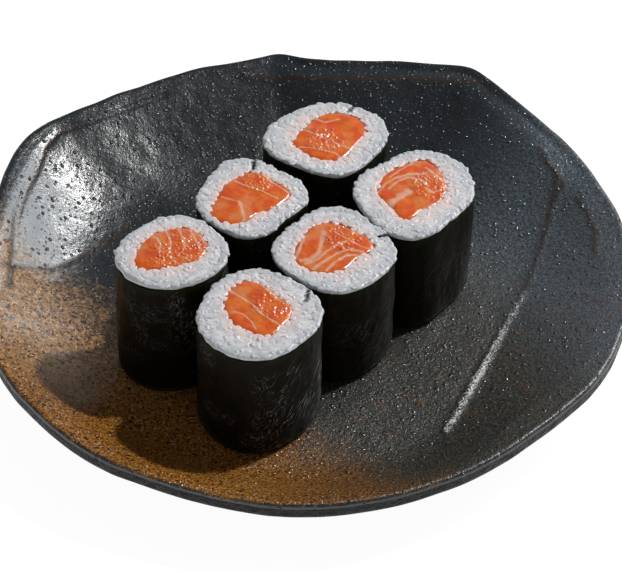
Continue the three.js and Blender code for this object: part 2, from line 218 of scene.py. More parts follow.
# Wet patches that glisten: (middle, radius).
WET = {
    "a": ((2, -1.2), 7.5),
    "b": ((1, 5), 3.5),
    "c": ((0, -1), 4.5),
    "d": ((2.5, 3), 4.6),
    "e": ((2, 3.5), 4.5),
    "f": ((4, 3), 5.0),
}


# ---------------------------------------------------------------- numbers
LATTICE_CELLS = 32
LATTICE_MIDDLE = 100  # keeps every place that noise is read at positive
LATTICE_SHIFT = 7.3  # between one pattern of noise and the next
LATTICE = np.random.default_rng(SEED).random((LATTICE_CELLS,) * 3)


def noise(points, size, stretch=(1, 1, 1), shift=0.0):
    """Smooth noise from -1 to 1 at points, with lumps about size across."""
    spot = points / (size * np.array(stretch)) + LATTICE_MIDDLE + shift * LATTICE_SHIFT
    cell = np.floor(spot).astype(int)
    part = spot - cell
    part = part * part * (3 - 2 * part)
    total = np.zeros(len(points))
    for corner in itertools.product((0, 1), repeat=3):
        weight = np.prod(np.where(np.array(corner) == 1, part, 1 - part), axis=1)
        x, y, z = ((cell + corner) % LATTICE_CELLS).T
        total += weight * LATTICE[x, y, z]
    return 2 * total - 1


def smooth_step(value, low, high):
    """0 up to low, 1 from high, and a smooth rise between."""
    part = np.clip((value - low) / (high - low), 0, 1)
    return part * part * (3 - 2 * part)


def blend_round(values, degrees):
    """Blurs values that run once round along their last axis."""
    count = values.shape[-1]
    width = degrees / 360
    wave = np.arange(count // 2 + 1)
    keep = np.exp(-2 * (math.pi * wave * width) ** 2)
    return np.fft.irfft(np.fft.rfft(values, axis=-1) * keep, count, axis=-1)


def turn_round(sides):
    """Directions round a circle, and their cosines and sines."""
    angles = np.arange(sides) * 2 * math.pi / sides
    return angles, np.cos(angles), np.sin(angles)


def distance_to_path(points, path):
    """Distance in plan from each point to a line of straight runs."""
    nearest = np.full(len(points), np.inf)
    for start, end in zip(path[:-1], path[1:]):
        run = np.subtract(end, start)
        away = points[:, :2] - np.array(start)
        part = np.clip(away @ run / (run @ run), 0, 1)
        nearest = np.minimum(nearest, np.hypot(*(away - part[:, None] * run).T))
    return nearest


# ---------------------------------------------------------------- frame and meshes
def cad_tree(node):
    """The CAD node as something rays can be shot at, in millimetres."""
    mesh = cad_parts[node].data
    points = [vertex.co / MM for vertex in mesh.vertices]
    return BVHTree.FromPolygons(points, [tuple(face.vertices) for face in mesh.polygons])


def cad_box(node):
    """The node's lowest and highest corners, in millimetres."""
    low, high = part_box(node)
    return np.array(low) / MM, np.array(high) / MM


def radii_round(tree, middle, height, sides):
    """Distance from middle out to the CAD's side in every direction, at one height; 0 for none."""
    reach = 200
    found = np.zeros(sides)
    for side, (cos, sin) in enumerate(zip(*turn_round(sides)[1:])):
        start = Vector((middle[0] + reach * cos, middle[1] + reach * sin, height))
        hit = tree.ray_cast(start, Vector((-cos, -sin, 0)), reach)[0]
        if hit:
            found[side] = math.hypot(hit.x - middle[0], hit.y - middle[1])
    return found


def ring(middle, radius, height, sides):
    """A ring of points; radius and height are numbers or one value for each side."""
    _, cos, sin = turn_round(sides)
    x = middle[0] + radius * cos
    y = middle[1] + radius * sin
    return np.stack([x, y, np.broadcast_to(height, x.shape)], axis=1)


def loft(rings, caps=True):
    """Points and faces of a body from rings run bottom, outside, top. Without caps the last
    ring joins the first, as in a tube with a wall."""
    count, sides = len(rings), len(rings[0])
    points = np.concatenate(rings)
    side = np.arange(sides)
    after = (side + 1) % sides
    faces = []
    for row in range(count if not caps else count - 1):
        low, high = row * sides, ((row + 1) % count) * sides
        faces.extend(np.stack([low + side, low + after, high + after, high + side], 1).tolist())
    if caps:
        bottom, top = len(points), len(points) + 1
        points = np.vstack([points, rings[0].mean(0), rings[-1].mean(0)])
        last = (count - 1) * sides
        faces.extend([bottom, b, a] for a, b in zip(side.tolist(), after.tolist()))
        faces.extend([top, last + a, last + b] for a, b in zip(side.tolist(), after.tolist()))
    return points, faces


def add_piece(name, points, faces, material, nodes=(), marks=None):
    """One visible piece: a smooth mesh with its material, bound to the frame."""
    mesh = bpy.data.meshes.new(name)
    mesh.from_pydata((points * MM).tolist(), [], faces)
    mesh.shade_smooth()
    for mark, values in (marks or {}).items():
        layer = mesh.attributes.new(mark, "FLOAT", "POINT")
        layer.data.foreach_set("value", np.asarray(values, dtype=np.float32))
    mesh.materials.append(material)
    piece = bpy.data.objects.new(name, mesh)
    bpy.context.scene.collection.objects.link(piece)
    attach(piece, "root")
    if nodes:
        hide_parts(*nodes)
    return piece


# ---------------------------------------------------------------- materials
class Paint:
    """A node material, built one node at a time."""

    def __init__(self, name):
        self.material = bpy.data.materials.new(name)
        self.material.use_nodes = True
        self.tree = self.material.node_tree
        self.surface = self.tree.nodes["Principled BSDF"]
        self.place = self.node("ShaderNodeTexCoord").outputs["Object"]

    def node(self, kind, inputs=None, **settings):
        made = self.tree.nodes.new(kind)
        for key, value in settings.items():
            setattr(made, key, value)
        for key, value in (inputs or {}).items():
            self.put(made.inputs[key], value)
        return made

    def put(self, socket, value):
        if isinstance(value, bpy.types.NodeSocket):
            self.tree.links.new(value, socket)
        else:
            socket.default_value = value

    def finish(self, **sockets):
        for key, value in sockets.items():
            self.put(self.surface.inputs[key.replace("_", " ")], value)
        return self.material

    def stretched(self, lengths, turn=(0, 0, 0)):
        """Places measured along turned axes, each in its own unit of length."""
        mapping = self.node("ShaderNodeMapping", {"Vector": self.place}, vector_type="TEXTURE")
        mapping.inputs["Scale"].default_value = lengths
        mapping.inputs["Rotation"].default_value = [math.radians(part) for part in turn]
        return mapping.outputs["Vector"]

    def noise(self, size, detail=3.0, rough=0.55, place=None, warp=0.0):
        """Cloudy noise from 0 to 1, with lumps about size across."""
        inputs = {
            "Vector": place or self.place,
            "Scale": 1 / (size * MM),
            "Detail": detail,
            "Roughness": rough,
            "Distortion": warp,
        }
        return self.node("ShaderNodeTexNoise", inputs).outputs["Fac"]

    def beads(self, size, radius, share):
        """Small domes, a share of the cells of that size having one."""
        inputs = {"Vector": self.place, "Scale": 1 / (size * MM)}
        cells = self.node("ShaderNodeTexVoronoi", inputs)
        chance = self.node("ShaderNodeSeparateColor", {"Color": cells.outputs["Color"]})
        chosen = self.maths("LESS_THAN", chance.outputs["Red"], share)
        out = self.maths("DIVIDE", cells.outputs["Distance"], radius / size)
        dome = self.maths("SUBTRACT", 1.0, self.maths("MULTIPLY", out, out))
        dome = self.maths("MAXIMUM", dome, 0.0)
        return self.maths("MULTIPLY", dome, chosen)

    def ridges(self, size, place, warp, sharp):
        """Thin lines where a noise passes its middle, which the seaweed paints pale as highlights.
        """
        height = self.noise(size, 1, 0.5, place, warp)
        away = self.maths("ABSOLUTE", self.maths("SUBTRACT", height, 0.5), 0)
        return self.span(away, 0.0, sharp, 1, 0)

    def mark(self, name):
        """A number that each point of the mesh carries."""
        return self.node("ShaderNodeAttribute", attribute_name=name).outputs["Fac"]

    def span(self, value, low, high, start=0.0, end=1.0):
        """Turns low to high smoothly into start to end."""
        inputs = {"Value": value, "From Min": low, "From Max": high, "To Min": start, "To Max": end}
        made = self.node("ShaderNodeMapRange", inputs, interpolation_type="SMOOTHSTEP")
        return made.outputs["Result"]

    def maths(self, kind, first, second):
        made = self.node("ShaderNodeMath", {0: first, 1: second}, operation=kind)
        return made.outputs[0]

    def mix(self, part, first, second):
        """The first colour where part is 0 and the second where it is 1."""
        colours = [value if isinstance(value, bpy.types.NodeSocket) else (*value, 1)
                   for value in (first, second)]
        inputs = {0: part, 6: colours[0], 7: colours[1]}
        return self.node("ShaderNodeMix", inputs, data_type="RGBA").outputs[2]

    def bump(self, height, depth, strength=1.0, under=None):
        """A relief of that depth in millimetres, over an earlier one."""
        inputs = {"Height": height, "Distance": depth * MM, "Strength": strength}
        if under is not None:
            inputs["Normal"] = under
        return self.node("ShaderNodeBump", inputs).outputs["Normal"]


def dark_glaze(paint, grain):
    """Charcoal with specks of rust, and slate with flecks in front, the slate painted lighter on
    the right wall as a painted sheen.
    """
    broad = paint.noise(14, 4)
    charcoal = paint.mix(paint.span(broad, 0.35, 0.7), (0.006, 0.009, 0.013), (0.016, 0.021, 0.027))
    grit = paint.mix(paint.mark("rust"), (0.035, 0.042, 0.05), (0.12, 0.135, 0.15))
    charcoal = paint.mix(paint.span(grain, 0.47, 0.68), charcoal, grit)
    # On the right wall (the wall mark) the slate is painted lighter: a painted sheen where that
    # wall gets little light.
    slate_low = paint.mix(paint.mark("wall"), (0.014, 0.0145, 0.0135), (0.036, 0.047, 0.056))
    slate_high = paint.mix(paint.mark("wall"), (0.06, 0.069, 0.06), (0.14, 0.175, 0.205))
    slate = paint.mix(paint.span(grain, 0.4, 0.62), slate_low, slate_high)
    fleck = paint.span(paint.noise(2.1, 4, 0.7), 0.59, 0.64)
    fleck = paint.maths("MULTIPLY", fleck, paint.mark("rust"))
    slate = paint.mix(fleck, slate, (0.12, 0.055, 0.025))
    dark = paint.mix(paint.mark("front"), charcoal, slate)
    rust = paint.maths("MULTIPLY", paint.mark("rust"), paint.span(grain, 0.54, 0.68))
    return paint.mix(rust, dark, (0.17, 0.075, 0.03))


def warm_glaze(paint, grain, fine, bead):
    """Brown turning to ochre, with dark specks, and pale bead tops that are partly pale crystals
    and partly painted glints.
    """
    brown = paint.mix(paint.span(fine, 0.38, 0.62), (0.18, 0.09, 0.038), (0.56, 0.3, 0.12))
    ochre = paint.mix(paint.span(grain, 0.4, 0.62), (0.17, 0.06, 0.008), (0.62, 0.255, 0.036))
    warm = paint.mix(paint.mark("gold"), brown, ochre)
    speck = paint.span(paint.noise(0.7, 2, 0.5), 0.57, 0.62)
    warm = paint.mix(speck, warm, (0.02, 0.009, 0.004))
    # Pale at the bead tops: partly pale crystals in the glaze, partly painted glints.
    warm = paint.mix(paint.span(bead, 0.2, 0.7), warm, (0.8, 0.55, 0.3))
    return paint.mix(paint.mark("dim"), warm, (0.05, 0.022, 0.008))


def glaze_paint():
    """Dark stoneware glaze, brown and ochre on the left and front, with specks and blisters, and a
    painted highlight along the raised streak.
    """
    paint = Paint("glaze")
    fine = paint.noise(1.2, 5, 0.8)
    grain = paint.noise(0.5, 3, 0.7)
    leather = paint.noise(1.0, 3, 0.6)
    blister = paint.beads(1.8, 0.5, 0.6)
    bead = paint.beads(0.95, 0.27, 0.6)
    edge = paint.maths("ADD", paint.mark("warm"), paint.span(fine, 0.2, 0.8, -0.2, 0.2))
    edge = paint.span(edge, 0.15, 0.85)
    colour = paint.mix(edge, dark_glaze(paint, grain), warm_glaze(paint, grain, fine, bead))
    colour = paint.mix(paint.mark("crease"), colour, (0.03, 0.013, 0.005))
    colour = paint.mix(paint.mark("rim"), colour, (0.015, 0.016, 0.018))
    # A near-white painted highlight along the raised streak on the right, broken up by the grain.
    painted_streak_highlight = paint.maths("MULTIPLY", paint.mark("streak"), paint.span(grain, 0.45, 0.56))
    colour = paint.mix(painted_streak_highlight, colour, (0.85, 0.87, 0.87))
    normal = paint.bump(paint.noise(6, 3, 0.5), 0.25)
    skin = paint.maths("MULTIPLY", leather, paint.span(paint.mark("front"), 0, 1, 0.5, 1.7))
    normal = paint.bump(skin, 0.13, 1.0, normal)
    normal = paint.bump(blister, 0.23, 1.0, normal)
    normal = paint.bump(bead, 0.08, 1.0, normal)
    normal = paint.bump(grain, 0.02, 1.0, normal)
    rough = paint.span(fine, 0.3, 0.7, 0.22, 0.28)
    rough = paint.maths("MULTIPLY", rough, paint.span(paint.mark("front"), 0, 1, 1, 1.35))
    rough = paint.maths("MULTIPLY", rough, paint.span(blister, 0.0, 0.2, 1, 0.65))
    return paint.finish(Base_Color=colour, Roughness=rough, Normal=normal, IOR=1.7)


def outside_paint():
    """The plate's outside: the same dark stoneware, left dull."""
    paint = Paint("outside")
    grain = paint.noise(0.7, 4, 0.7)
    colour = paint.mix(paint.span(grain, 0.45, 0.7), (0.004, 0.0045, 0.005), (0.022, 0.024, 0.026))
    rough = paint.span(paint.noise(2, 3), 0.3, 0.7, 0.35, 0.55)
    normal = paint.bump(paint.noise(1.4, 3, 0.6), 0.9)
    normal = paint.bump(grain, 0.3, 1.0, normal)
    return paint.finish(
        Base_Color=colour, Roughness=rough, Normal=normal, Specular_IOR_Level=0.2,
    )


def nori_paint():
    """Damp seaweed: near black, green where light comes through, with glossy wrinkles that carry
    painted highlights.
    """
    paint = Paint("nori")
    cloud = paint.noise(5, 3)
    leaning = paint.stretched((1, 1, 13), LEANING_TURN)
    lying = paint.stretched((8, 1, 1), LYING_TURN)
    fibre = paint.noise(0.7, 3, 0.6, leaning)
    broken = paint.span(paint.noise(3, 2), 0.35, 0.55, 0.4, 1)
    # Lines along the wrinkles, both a relief and pale painted highlights, mostly on the lit right
    # side.
    lean = paint.maths("MULTIPLY", paint.ridges(1.05, leaning, 0.06, 0.04), paint.mark("lean"))
    lie = paint.maths("MULTIPLY", paint.ridges(1.1, lying, 0.08, 0.035), paint.mark("lie"))
    lines = paint.maths("MULTIPLY", paint.maths("MAXIMUM", lean, lie), broken)
    cloudy = paint.span(cloud, 0.4, 0.65)
    colour = paint.mix(cloudy, (0.0085, 0.005, 0.002), (0.0045, 0.0045, 0.0025))
    colour = paint.mix(paint.span(fibre, 0.5, 0.7), colour, (0.01, 0.0085, 0.0065))
    # The pale painted highlights on the wrinkles.
    colour = paint.mix(lines, colour, (0.34, 0.36, 0.37))
    colour = paint.mix(paint.mark("thin"), colour, (0.018, 0.032, 0.004))
    normal = paint.bump(fibre, 0.15)
    normal = paint.bump(lines, 0.12, 1.0, normal)
    rough = paint.span(paint.noise(1.3, 3), 0.3, 0.7, 0.34, 0.5)
    return paint.finish(
        Base_Color=colour, Roughness=rough, Normal=normal, Specular_IOR_Level=0.08,
    )


def rice_paint():
    """Moist cooked rice: white, grey-blue towards the seaweed and pink beside the salmon."""
    paint = Paint("rice")
    tone = paint.noise(1.8, 4, 0.6)
    fine = paint.noise(0.7, 3, 0.6)
    colour = paint.mix(paint.span(tone, 0.38, 0.62), (0.73, 0.72, 0.75), (0.92, 0.89, 0.91))
    colour = paint.mix(paint.span(fine, 0.36, 0.5, 0.5, 0), colour, (0.5, 0.52, 0.55))
    colour = paint.mix(paint.mark("outer"), colour, (0.54, 0.575, 0.61))
    colour = paint.mix(paint.mark("inner"), colour, (0.96, 0.76, 0.73))
    colour = paint.mix(paint.mark("dark"), colour, (0.012, 0.016, 0.01))
    normal = paint.bump(paint.noise(0.9, 2, 0.5), 0.07)
    normal = paint.bump(paint.beads(1.3, 0.5, 0.6), 0.16, 1.0, normal)
    rough = paint.span(paint.noise(0.8, 2), 0.3, 0.7, 0.13, 0.32)
    return paint.finish(
        Base_Color=colour, Roughness=rough, Normal=normal, Subsurface_Weight=0.15,
        Subsurface_Radius=(1.0, 0.9, 0.85), Subsurface_Scale=0.5 * MM,
    )


def salmon_paint():
    """Raw salmon: orange flesh between pale lines of fat, wet on its cut face."""
    paint = Paint("salmon")
    tone = paint.span(paint.noise(3.0, 3), 0.38, 0.64)
    flesh = paint.mix(tone, (0.86, 0.1, 0.003), (0.95, 0.2, 0.014))
    flesh = paint.mix(paint.mark("pale"), flesh, (0.94, 0.36, 0.13))
    colour = paint.mix(paint.mark("fat"), flesh, (0.98, 0.6, 0.42))
    wet = paint.maths("MULTIPLY", paint.noise(1.8, 2, 0.4), paint.mark("wet"))
    normal = paint.bump(paint.noise(1.6, 2), 0.08)
    normal = paint.bump(wet, 0.3, 1.0, normal)
    drops = paint.maths("MAXIMUM", paint.beads(1.3, 0.62, 0.75), paint.beads(0.85, 0.42, 0.6))
    drops = paint.maths("MULTIPLY", drops, paint.mark("wet"))
    normal = paint.bump(drops, 0.17, 1.0, normal)
    rough = paint.span(paint.noise(1.2, 2), 0.3, 0.7, 0.2, 0.34)
    return paint.finish(
        Base_Color=colour, Roughness=rough, Normal=normal, Subsurface_Weight=0.25,
        Subsurface_Radius=(1.0, 0.35, 0.15), Subsurface_Scale=1.2 * MM,
        Coat_Weight=1.0, Coat_Roughness=0.12, Coat_IOR=1.8, Coat_Normal=normal,
        Specular_IOR_Level=0.4,
    )


# ---------------------------------------------------------------- plate
def plate_marks(points, edge_distance):
    """How much of each finish, painted sheen and painted highlight shows at each point of the
    plate.
    """
    x, y, _ = points.T
    lower_left = -0.6 * x - 0.8 * y + 6 * noise(points, 16)
    # Distance from the raised streak, which sets where its painted highlight goes.
    near = distance_to_path(points, STREAK) + 0.4 * noise(points, 1.5)
    near += 0.3 * smooth_step(y, -25, 5)
    band = np.exp(-((distance_to_path(points, LEFT_BAND) / 0.75) ** 2)) * smooth_step(-y, -50, -40)
    fold = np.exp(-((distance_to_path(points, BACK_LEFT_CREASE) / 0.8) ** 2))
    fold *= smooth_step(-x, 36, 47)
    for path in (RIGHT_CREASE[:4], RIGHT_BAND, CORNER_CREASE, BACK_BAND):
        fold = np.maximum(fold, 0.95 * np.exp(-((distance_to_path(points, path) / 0.55) ** 2)))
    return {
        "warm": smooth_step(lower_left, 18, 54),
        "gold": smooth_step(4 * noise(points, 16) - y, 12, 46),
        "dim": 0.6 * smooth_step(x, -35, 8),
        "front": smooth_step(x - y, -22, 28),
        # the right wall, where the slate is painted lighter as a painted sheen
        "wall": smooth_step(x + 0.5 * y, 34, 62),
        "rust": smooth_step(x - 1.5 * y, 0, 80) * 0.8,
        "crease": np.clip(band + fold, 0, 1) * 0.95,
        # where the painted highlight along the raised streak shows
        "streak": 1 - smooth_step(near, 0.12, 0.7),
        "rim": 1 - smooth_step(edge_distance + 0.3 * noise(points, 2.5), 0.2, 0.8),
    }


def plate_relief(points):
    """Unevenness of the potter's well: soft hollows, lumps and the pressed or raised lines."""
    relief = 0.25 * noise(points, 24) + 0.1 * noise(points, 8) + 0.03 * noise(points, 2.6)
    for path, width, depth in RELIEF_LINES:
        relief += depth * np.exp(-((distance_to_path(points, path) / width) ** 2))
    streak = distance_to_path(points, STREAK)
    return relief + 0.25 * np.exp(-((streak / 0.6) ** 2)) * (1 + noise(points, 1.2))


def soften(heights, times):
    """Rounds the folds of the well, whose heights run ring by ring from the rim inwards."""
    for _ in range(times):
        inner = [0.25 * a + 0.5 * b + 0.25 * c
                 for a, b, c in zip(heights, heights[1:], heights[2:])]
        heights = [heights[0], *inner, heights[-1]]
    return heights


class PlateFrame:
    """The CAD plate as rays find it: its foot ring, middle and rim outline."""

    def __init__(self):
        self.tree = cad_tree("plate")
        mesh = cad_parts["plate"].data
        foot = np.array([vertex.co for vertex in mesh.vertices if vertex.co.z < 0.01 * MM]) / MM
        self.middle = (foot.min(0) + foot.max(0))[:2] / 2
        foot_radii = np.hypot(*(foot[:, :2] - self.middle).T)
        self.foot_inner = foot_radii.min()
        self.foot_outer = foot_radii.max()
        levels = np.arange(RIM_LOWEST, cad_box("plate")[1][2], RIM_STEP)
        outlines = [radii_round(self.tree, self.middle, level, SPOKES) for level in levels]
        self.rim = blend_round(np.max(outlines, axis=0), CORNER_ROUND)
        self.top = self.height_at(self.rim - LIP_TOP_IN, LOOK_DOWN_FROM, -UP)

    def height_at(self, radius, start, towards):
        """Height of the surface that a ray from start meets, at one radius for each spoke."""
        _, cos, sin = turn_round(SPOKES)
        heights = np.zeros(SPOKES)
        for side in range(SPOKES):
            x = self.middle[0] + radius[side] * cos[side]
            y = self.middle[1] + radius[side] * sin[side]
            heights[side] = self.tree.ray_cast(Vector((x, y, start)), towards)[0].z
        return blend_round(heights, FACET_ROUND)

    def ring(self, radius, height):
        return ring(self.middle, radius, height, SPOKES)


def outside_rings(cad):
    """Rings from the hollow under the plate round its foot ring and out to the lip."""
    inner, outer = cad.foot_inner, cad.foot_outer
    hollow = cad.height_at(np.full(SPOKES, inner - 4), LOOK_UP_FROM, UP)
    rings = [
        cad.ring(inner - 1.2, hollow),
        cad.ring(inner - 0.3, 0.25),
        cad.ring(inner + 0.2, 0.0),
        cad.ring(outer - 0.2, 0.0),
        cad.ring(outer + 0.3, 0.25),
    ]
    for part in np.linspace(0, 1, UNDER_RINGS):
        radius = (1 - part) * (outer + 1.5) + part * (cad.rim - 2.2)
        rings.append(cad.ring(radius, cad.height_at(radius, LOOK_UP_FROM, UP)))
    return rings


def lip_rings(cad):
    """Rings over the lip, from its underside to the well."""
    wobble = RIM_WOBBLE * noise(cad.ring(cad.rim, cad.top), 7)
    rings = []
    for inset, drop in reversed(LIP_SECTION):
        rings.append(cad.ring(cad.rim - inset + wobble, cad.top - drop + 0.4 * wobble))
    return rings


def well_rings(cad):
    """Rings from inside the lip to the middle of the well, its folds softened."""
    parts = np.linspace(1, WELL_CENTRE, WELL_RINGS)
    radii = [part * (cad.rim - LIP_WIDTH) for part in parts]
    well = [cad.height_at(radius, LOOK_DOWN_FROM, -UP) for radius in radii]
    well = soften(well, WELL_PASSES)
    turned = np.degrees(turn_round(SPOKES)[0])
    for start, end, passes in SOFT_WALLS:
        share = smooth_step(turned, start, start + SOFT_FADE_IN)
        share = share * (1 - smooth_step(turned, end - SOFT_FADE_OUT, end))
        well = [share * a + (1 - share) * b for a, b in zip(soften(well, passes), well)]
    return [cad.ring(radius, height) for radius, height in zip(radii[1:], well[1:])]


def build_plate(glaze, outside):
    """The whole plate, glazed over its well and lip and dull outside."""
    cad = PlateFrame()
    under, lip = outside_rings(cad), lip_rings(cad)
    rings = [*under, *lip, *well_rings(cad)]
    lip_end = len(under) + len(lip)
    points, faces = loft(rings)
    upper = np.zeros(len(points), dtype=bool)
    upper[(lip_end - LIP_RELIEF) * SPOKES:] = True
    from_edge = np.zeros(len(points))
    from_edge[: SPOKES * len(rings)] = np.tile(cad.rim, len(rings))
    from_edge -= np.hypot(*(points[:, :2] - cad.middle).T)
    from_edge[-2:] = cad.rim.mean()
    points[upper, 2] += plate_relief(points[upper]) * smooth_step(from_edge[upper], 0.5, 3)
    marks = plate_marks(points, from_edge)
    plate = add_piece("plate_glazed", points, faces, glaze, ["plate"], marks)
    plate.data.materials.append(outside)
    dull = np.zeros(len(faces), dtype=np.int32)
    dull[: (lip_end - LIP_GLAZED) * SPOKES] = 1
    dull[-2 * SPOKES:-SPOKES] = 1
    plate.data.polygons.foreach_set("material_index", dull)


# ---------------------------------------------------------------- maki
class Roll:
    """One maki piece as the frame has it: its middle, height and outlines."""

    def __init__(self, letter):
        self.letter = letter
        self.rng = np.random.default_rng(SEED + ROLLS.index(letter))
        low, high = cad_box(f"nori_{letter}")
        self.middle = (low + high)[:2] / 2
        self.base = low[2]
        self.nori_top = high[2] - NORI_TRIM
        self.face = cad_box(f"salmon_{letter}")[1][2] - FACE_DROP
        self.nori = cad_tree(f"nori_{letter}")
        self.salmon = cad_tree(f"salmon_{letter}")

    def outer(self, height, sides):
        """Outline of the seaweed at a height."""
        return blend_round(radii_round(self.nori, self.middle, height, sides), ROLL_ROUND)

    def core(self, sides):
        """Outline of the salmon just under the cut face."""
        found = radii_round(self.salmon, self.middle, self.face - CORE_LEVEL, sides)
        return blend_round(found, ROLL_ROUND)


def wrinkle_marks(points, roll):
    """Where the seaweed's wrinkles lean, mostly on the right side that the key light reaches, and
    where they lie level: where the wrinkles stand out and carry painted highlights.
    """
    shift = ROLLS.index(roll.letter)
    out = points[:, :2] - roll.middle
    right = smooth_step(out @ np.array([0.9, -0.4]) / np.hypot(*out.T), 0.2, 0.8)
    patch = smooth_step(noise(points, 5, shift=shift + 5), 0.0, 0.5)
    other = smooth_step(noise(points, 6, shift=shift + 7), -0.5, 0.3)
    share = WRINKLES_AND_GLINTS[roll.letter]
    return {
        "lean": share * np.maximum(right * other, 0.1 * patch),
        "lie": 0.25 * share * patch * (1 - right),
    }


def build_nori(roll, material):
    """The seaweed round a roll: a thin wall with a swollen waist, a wavy top edge and wrinkles."""
    waist = roll.base + NORI_WAIST * (roll.nori_top - roll.base)
    at_waist = roll.outer(waist, NORI_SIDES)
    at_edge = roll.outer(roll.nori_top - NORI_EDGE, NORI_SIDES)
    edge_spots = ring(roll.middle, at_edge, roll.nori_top, NORI_SIDES)
    edge_wave = 0.22 * noise(edge_spots, 3.5) + 0.1 * noise(edge_spots, 1.2)
    shift = ROLLS.index(roll.letter) + 9
    rings = []
    for part in (0, *np.linspace(0.003, 1, NORI_ROWS - 1)):
        swell = 1 - ((part - NORI_WAIST) / (1 - NORI_WAIST)) ** 2
        radius = at_edge + (at_waist - at_edge) * swell
        height = roll.base + part * (roll.nori_top + edge_wave - roll.base)
        flat = ring(roll.middle, radius, height, NORI_SIDES)
        dents = 0.22 * noise(flat, 6, shift=shift) + 0.08 * noise(flat, 1.4, (1, 1, 2.5)) - 0.1
        tuck = BASE_TUCK * (1 - smooth_step(part, 0.0, TUCK_RISE))
        rings.append(ring(roll.middle, radius + dents - tuck, height, NORI_SIDES))
    for part in (1, 0.93, 0.5, 0):
        height = roll.base + part * (roll.nori_top + edge_wave - roll.base)
        inside = at_edge - NORI_THICK - 0.5 * (part == 0)
        rings.append(ring(roll.middle, inside, height, NORI_SIDES))
    points, faces = loft(rings, caps=False)
    above = points[:, 2] - roll.base
    under = roll.nori_top - points[:, 2]
    edge = np.maximum(1 - smooth_step(above, 0.3, 2.5), 0.35 * (1 - smooth_step(under, 0.5, 2.5)))
    marks = wrinkle_marks(points, roll)
    marks["thin"] = smooth_step(noise(points, 4, shift=2), -0.5, 0.5) * edge
    name = f"nori_{roll.letter}_sheet"
    add_piece(name, points, faces, material, [f"nori_{roll.letter}"], marks)


def grain_shape():
    """One cooked grain, 1 long, about its middle, with its faces: a rounded bean of quads."""
    rows, sides = 7, 10
    rings = []
    for row in range(rows):
        turn = math.pi * (row + 0.7) / (rows + 0.4)
        size = math.sin(turn) ** 0.7
        _, cos, sin = turn_round(sides)
        y = size * cos * GRAIN_WIDTH / 2
        z = size * sin * GRAIN_HEIGHT / 2
        rings.append(np.stack([np.full(sides, -math.cos(turn) / 2), y, z], 1))
    return loft(rings)


def scatter(roll, hole, wall):
    """Places for grains on the cut face: along the nori, along the salmon, and between."""
    rng = roll.rng
    sides = len(hole)
    spots = np.empty((0, 2))
    found = []

    def try_spot(radius, angle, part, spacing):
        nonlocal spots
        spot = radius * np.array([math.cos(angle), math.sin(angle)])
        if len(spots) and np.hypot(*(spots - spot).T).min() < spacing:
            return
        spots = np.vstack([spots, spot])
        found.append((spot, angle, part))

    for border, inset in ((wall, 0.35), (hole, -0.4)):
        steps = int(2 * math.pi * border.mean() / EDGE_SPACING)
        for step in range(steps):
            angle = 2 * math.pi * (step + rng.uniform(-0.25, 0.25)) / steps
            side = int(angle / (2 * math.pi) * sides) % sides
            radius = border[side] - inset + rng.uniform(-0.2, 0.25)
            try_spot(radius, angle, 1.0 if inset > 0 else 0.0, 0.75 * EDGE_SPACING)
    for _ in range(SCATTER_TRIES):
        side = rng.integers(sides)
        part = math.sqrt(rng.random())
        radius = hole[side] + 1 + part * (wall[side] - hole[side] - 2.2)
        try_spot(radius, 2 * math.pi * side / sides, 0.1 + 0.8 * part, GRAIN_SPACING)
    return found


def build_rice(roll, material):
    """A core up to just under the cut face, and the real grains of the face over it."""
    sides = RICE_SIDES
    wall = roll.outer(roll.nori_top - 2, sides) - NORI_THICK - 0.12
    hole = roll.core(sides) + 0.05
    top = roll.face - RICE_DEPTH
    lip = top - roll.nori_top
    lobes = 0.25 * noise(ring(roll.middle, wall, top, sides), 1.8)
    rings = [ring(roll.middle, wall - BASE_TUCK - CORE_TUCK, roll.base, sides)]
    rings.append(ring(roll.middle, wall - CORE_CLEAR, roll.base + CORE_RISE, sides))
    rings.append(ring(roll.middle, wall, roll.nori_top - 0.4, sides))
    for bulge, rise in CORE_LIP:
        rings.append(ring(roll.middle, wall + bulge + lobes, roll.nori_top + rise * lip, sides))
    for part in np.linspace(0.07, 0.98, RICE_RINGS):
        flat = ring(roll.middle, wall + (hole - wall) * part, top, sides)
        flat[:, 2] += 0.1 * noise(flat, 1.8) + 0.05 * noise(flat, 0.8)
        rings.append(flat)
    rings.append(ring(roll.middle, hole, top - 0.5, sides))
    rings.append(ring(roll.middle, hole, roll.base, sides))
    points, faces = loft(rings, caps=False)
    cut = notch_depth(roll, points)
    points[:, 2] -= 2.0 * cut * smooth_step(points[:, 2], top - 0.7, top - 0.4)
    radius = np.hypot(*(points[:, :2] - roll.middle).T)
    marks = {
        "outer": smooth_step(radius, wall.mean() - 1.5, wall.mean()) * 0.6,
        "inner": 1 - smooth_step(radius, hole.mean(), hole.mean() + 1.5),
        "dark": cut,
    }
    name = f"rice_{roll.letter}_core"
    add_piece(name, points, faces, material, [f"rice_{roll.letter}"], marks)
    build_grains(roll, hole, wall, material)


def notch_depth(roll, points):
    """1 in the nick that the seaweed's lap leaves in the rice, and 0 away from it."""
    away = distance_to_path(points[:, :2] - roll.middle, NOTCH[roll.letter])
    return 1 - smooth_step(away, 1.1 * NOTCH_WIDTH, 1.5 * NOTCH_WIDTH)


def clear_notch(local, line):
    """Moves points sideways out of the nick."""
    start, end = line
    run = (end - start) / np.hypot(*(end - start))
    along = (local - start) @ run
    side = (local - start) @ np.array([-run[1], run[0]])
    narrow = NOTCH_WIDTH * smooth_step(along, -0.3, 1.5)
    shift = np.where(side < 0, -1, 1) * np.maximum(narrow - np.abs(side), 0)
    return local + shift[:, None] * np.array([-run[1], run[0]])


